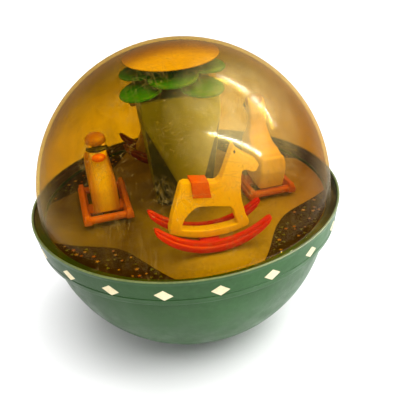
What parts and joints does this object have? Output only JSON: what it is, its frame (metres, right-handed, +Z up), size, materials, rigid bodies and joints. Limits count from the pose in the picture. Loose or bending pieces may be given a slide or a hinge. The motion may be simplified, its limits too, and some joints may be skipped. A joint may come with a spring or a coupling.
{
  "type": "roly-poly chime ball toy",
  "caption": "Self-righting ball toy: amber clear dome over rocking horses and swans round a tree, on a green bowl weighted with a ballast and a rod chime.",
  "frame": {"origin": "centre of the small flat that the bowl stands on", "axes": "+Z up along the tree, -Y towards the front horse, +X towards the right swan; the front horse faces +X"},
  "size_m": [0.153, 0.153, 0.152],
  "materials": {
    "amber_clear": "clear plastic aged to amber, glossy with fine scratches",
    "green_shell": "moulded green, worn semi-gloss",
    "deck_brown": "olive-yellow paths and dark brown flower beds, satin",
    "trunk_olive": "olive, satin",
    "leaf_green": "leaf green, satin",
    "cap_yellow": "yellow-orange, semi-gloss",
    "figure_yellow": "moulded yellow, semi-gloss",
    "saddle_red": "orange-red, semi-gloss",
    "runner_red": "red, semi-gloss",
    "runner_orange": "orange, semi-gloss",
    "stem_white": "off-white, satin",
    "steel": "plain bright steel",
    "cast_iron": "as cast, dull",
    "brass": "turned, dulled",
    "rubber": "black, matt"
  },
  "bodies": {
    "ball": {"dome": "amber_clear", "bowl": "green_shell", "deck": "deck_brown", "trunk": "trunk_olive", "lower_leaves": "leaf_green", "upper_leaves": "leaf_green", "cap": "cap_yellow", "trunk_screw": "steel", "front_horse_pin": "steel", "right_swan_pin": "steel", "rear_horse_pin": "steel", "left_swan_pin": "steel", "ballast": "cast_iron", "chime_bush": "rubber", "chime_plate": "steel", "ballast_screw": "steel", "chime_rod_1": "steel", "chime_rod_2": "steel", "chime_rod_3": "steel", "chime_rod_4": "steel", "striker_hanger": "steel", "striker_upper_pin": "steel"},
    "front_horse": {"front_horse_body": "figure_yellow", "front_horse_saddle": "saddle_red", "front_horse_runners": "runner_red", "front_horse_stem": "stem_white", "front_horse_weight": "steel"},
    "right_swan": {"right_swan_body": "figure_yellow", "right_swan_runners": "runner_orange", "right_swan_stem": "stem_white", "right_swan_weight": "steel"},
    "rear_horse": {"rear_horse_body": "figure_yellow", "rear_horse_saddle": "saddle_red", "rear_horse_runners": "runner_red", "rear_horse_stem": "stem_white", "rear_horse_weight": "steel"},
    "left_swan": {"left_swan_body": "figure_yellow", "left_swan_runners": "runner_orange", "left_swan_stem": "stem_white", "left_swan_weight": "steel"},
    "yoke": {"striker_yoke": "brass"},
    "striker": {"striker_lower_pin": "steel", "striker_arm": "steel", "striker_ball": "brass"}
  },
  "joints": [
    {"name": "front_horse_rock", "type": "hinge", "parent": "ball", "child": "front_horse", "pos_m": [0, -0.045, 0.0685], "axis": [0, 1, 0], "range_deg": [-16, 6]},
    {"name": "right_swan_rock", "type": "hinge", "parent": "ball", "child": "right_swan", "pos_m": [0.04, 0, 0.0685], "axis": [-1, 0, 0], "range_deg": [-3, 13]},
    {"name": "rear_horse_rock", "type": "hinge", "parent": "ball", "child": "rear_horse", "pos_m": [0, 0.045, 0.0685], "axis": [0, -1, 0], "range_deg": [-6, 16]},
    {"name": "left_swan_rock", "type": "hinge", "parent": "ball", "child": "left_swan", "pos_m": [-0.04, 0, 0.0685], "axis": [1, 0, 0], "range_deg": [-8, 8]},
    {"name": "striker_swing_y", "type": "hinge", "parent": "ball", "child": "yoke", "pos_m": [0, 0, 0.06], "axis": [1, 0, 0], "range_deg": [-25, 25]},
    {"name": "striker_swing_x", "type": "hinge", "parent": "yoke", "child": "striker", "pos_m": [0, 0, 0.057], "axis": [0, 1, 0], "range_deg": [-29, 29]}
  ]
}
